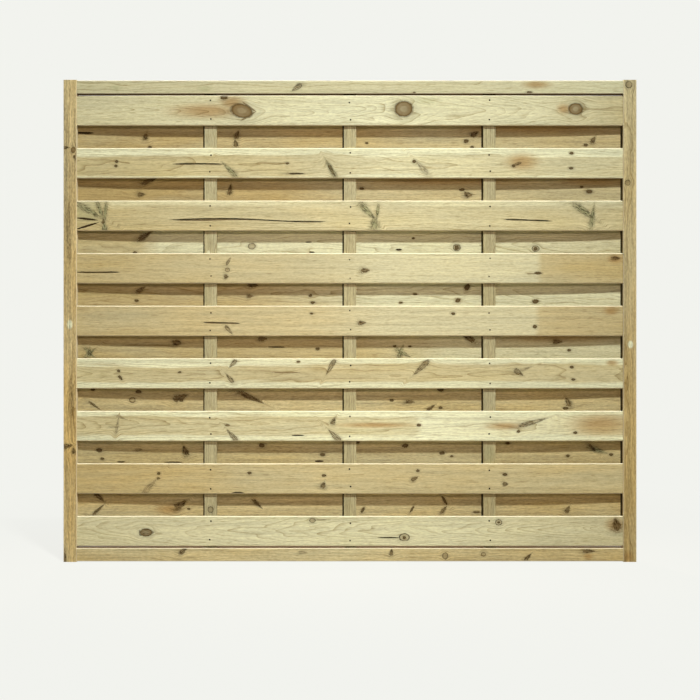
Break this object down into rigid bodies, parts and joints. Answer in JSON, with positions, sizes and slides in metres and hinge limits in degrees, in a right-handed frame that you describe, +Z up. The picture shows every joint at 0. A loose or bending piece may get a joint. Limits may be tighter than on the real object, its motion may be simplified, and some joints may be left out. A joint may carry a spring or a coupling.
{
  "type": "horizontal board fence panel",
  "caption": "Upright timber fence panel with a mortised frame and horizontal boards nailed in turn to the front and back of inner battens, so that it screens and lets wind through.",
  "frame": {"origin": "middle of the panel's foot, on the plane that the stiles stand on", "axes": "+X along the boards to the right seen from the front, +Y through the panel towards the back, +Z up the stiles"},
  "size_m": [1.8, 0.042, 1.514],
  "materials": {
    "frame_timber": "planed, pressure-treated pine",
    "batten_timber": "sawn, pressure-treated pine",
    "board_timber": "planed, pressure-treated pine",
    "nail_steel": "dull oxidised steel"
  },
  "bodies": {
    "root": {"left_stile": "frame_timber", "right_stile": "frame_timber", "top_rail": "frame_timber", "bottom_rail": "frame_timber", "batten_left": "batten_timber", "batten_middle": "batten_timber", "batten_right": "batten_timber", "front_board_1": "board_timber", "front_board_2": "board_timber", "front_board_3": "board_timber", "front_board_4": "board_timber", "front_board_5": "board_timber", "front_board_6": "board_timber", "front_board_7": "board_timber", "front_board_8": "board_timber", "front_board_9": "board_timber", "rear_board_1": "board_timber", "rear_board_2": "board_timber", "rear_board_3": "board_timber", "rear_board_4": "board_timber", "rear_board_5": "board_timber", "rear_board_6": "board_timber", "rear_board_7": "board_timber", "rear_board_8": "board_timber", "front_nails": "nail_steel", "rear_nails": "nail_steel"}
  },
  "joints": []
}
